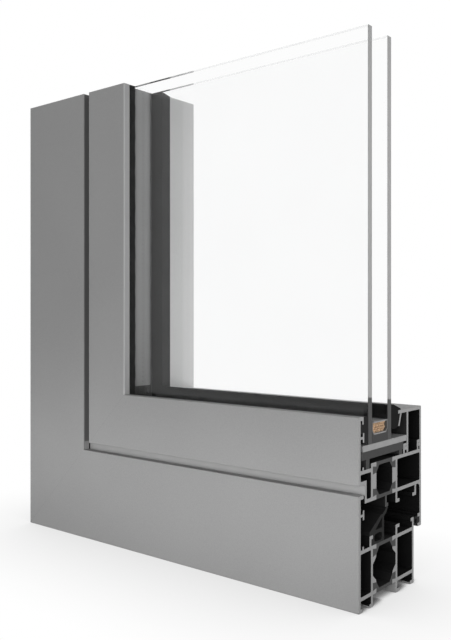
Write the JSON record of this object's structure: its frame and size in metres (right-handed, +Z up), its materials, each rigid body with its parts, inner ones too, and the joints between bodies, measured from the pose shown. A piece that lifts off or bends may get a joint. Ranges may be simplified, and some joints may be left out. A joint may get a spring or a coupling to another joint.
{
  "type": "window frame corner sample",
  "caption": "Lower left corner of a thermally broken aluminium window: mitred frame and sash profiles with gaskets, glazing bead and a sealed double glazing unit, cut to show the section.",
  "frame": {"origin": "centre of the part's box in plan, at the level of the sill's feet", "axes": "+X along the sill towards its cut end, +Y from the outside face towards the room, +Z up the jamb"},
  "size_m": [0.258, 0.0676, 0.286],
  "materials": {
    "frame_coat": "matte grey powder coat",
    "sash_coat": "matte grey powder coat",
    "bead_coat": "matte grey powder coat",
    "polyamide": "glass-filled, dark grey",
    "cleat_metal": "mill finish",
    "gasket_rubber": "matte black",
    "pane_glass": "clear float",
    "spacer_metal": "dull",
    "desiccant_bead": "matte beads",
    "edge_sealant": "matte dark grey",
    "bridge_plastic": "dark grey",
    "block_plastic": "light grey"
  },
  "bodies": {
    "root": {"frame_sill_outer": "frame_coat", "frame_sill_inner": "frame_coat", "frame_jamb_outer": "frame_coat", "frame_jamb_inner": "frame_coat", "frame_sill_bar_low": "polyamide", "frame_sill_bar_high": "polyamide", "frame_jamb_bar_low": "polyamide", "frame_jamb_bar_high": "polyamide", "frame_cleat_outer": "cleat_metal", "frame_cleat_inner": "cleat_metal", "centre_gasket": "gasket_rubber", "sash_rail_outer": "sash_coat", "sash_rail_inner": "sash_coat", "sash_stile_outer": "sash_coat", "sash_stile_inner": "sash_coat", "sash_rail_bar_low": "polyamide", "sash_rail_bar_high": "polyamide", "sash_stile_bar_low": "polyamide", "sash_stile_bar_high": "polyamide", "sash_cleat_outer": "cleat_metal", "sash_cleat_inner": "cleat_metal", "overlap_seal": "gasket_rubber", "bead_rail": "bead_coat", "bead_stile": "bead_coat", "outer_gasket": "gasket_rubber", "inner_gasket": "gasket_rubber", "outer_pane": "pane_glass", "inner_pane": "pane_glass", "spacer": "spacer_metal", "desiccant": "desiccant_bead", "edge_seal": "edge_sealant", "glazing_bridge": "bridge_plastic", "setting_block": "block_plastic"}
  },
  "joints": []
}
